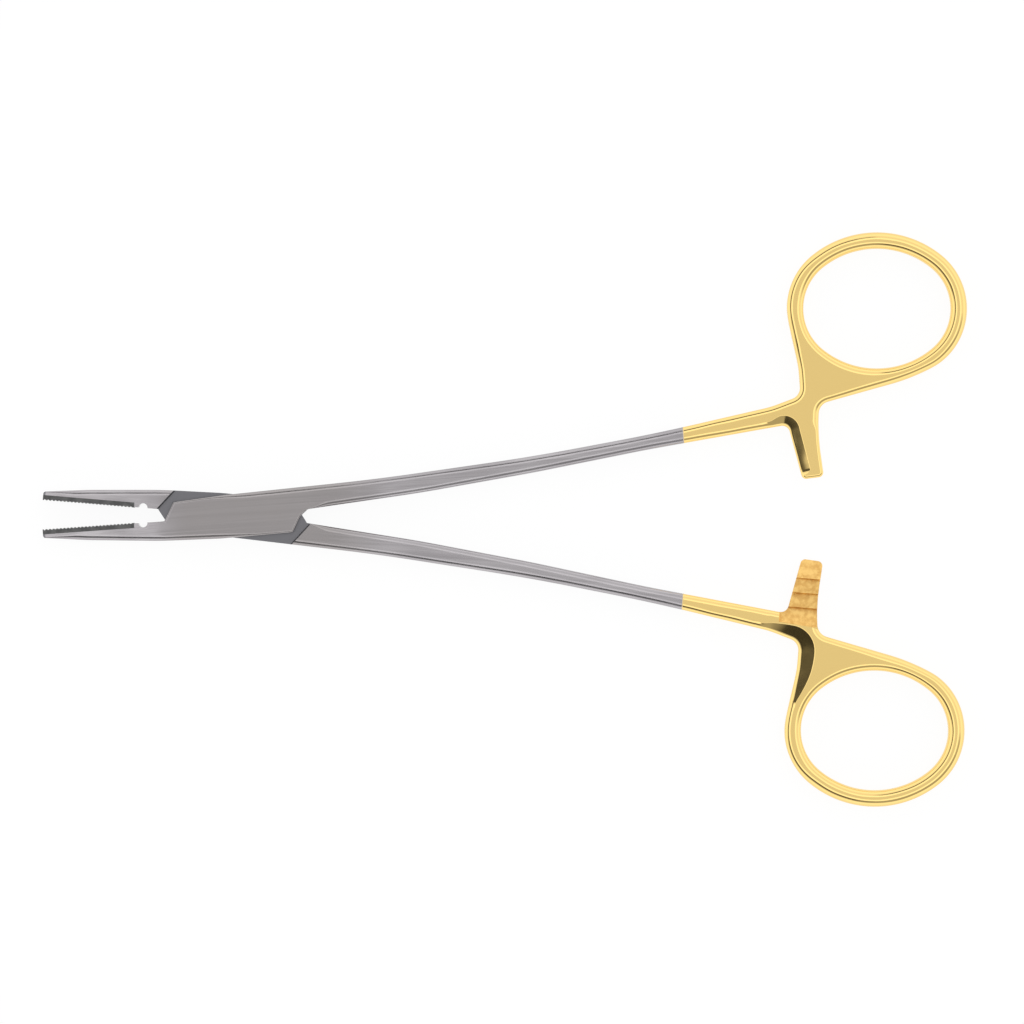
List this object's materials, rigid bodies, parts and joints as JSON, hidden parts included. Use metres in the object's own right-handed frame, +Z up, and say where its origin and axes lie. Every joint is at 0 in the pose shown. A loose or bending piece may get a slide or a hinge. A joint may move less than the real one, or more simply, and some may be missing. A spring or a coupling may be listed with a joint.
{
  "type": "surgical needle holder",
  "caption": "Straight surgical needle holder with a box lock, ratchet handles, oval finger rings and serrated carbide jaw inserts, lying open.",
  "frame": {"origin": "on the pivot axis, at the underside of the box that the instrument rests on", "axes": "+Z up along the pivot, +X from the pivot towards the finger rings along the line that halves the opening, +Y towards the ring of the half that carries the box"},
  "size_m": [0.1769, 0.1102, 0.0048],
  "materials": {
    "steel": "satin stainless steel, with the handles, ratchets and rings polished and gold plated",
    "pin_steel": "satin, ground flush",
    "carbide": "dark grey sintered carbide, serrated"
  },
  "bodies": {
    "box_side": {"box_half": "steel", "pivot_pin": "pin_steel", "box_jaw_insert": "carbide"},
    "tongue_side": {"tongue_half": "steel", "tongue_jaw_insert": "carbide"}
  },
  "joints": [
    {"name": "box_lock_pivot", "type": "hinge", "parent": "box_side", "child": "tongue_side", "pos_m": [0, 0, 0.0024], "axis": [0, 0, 1], "range_deg": [-81.2, 8.8]}
  ]
}
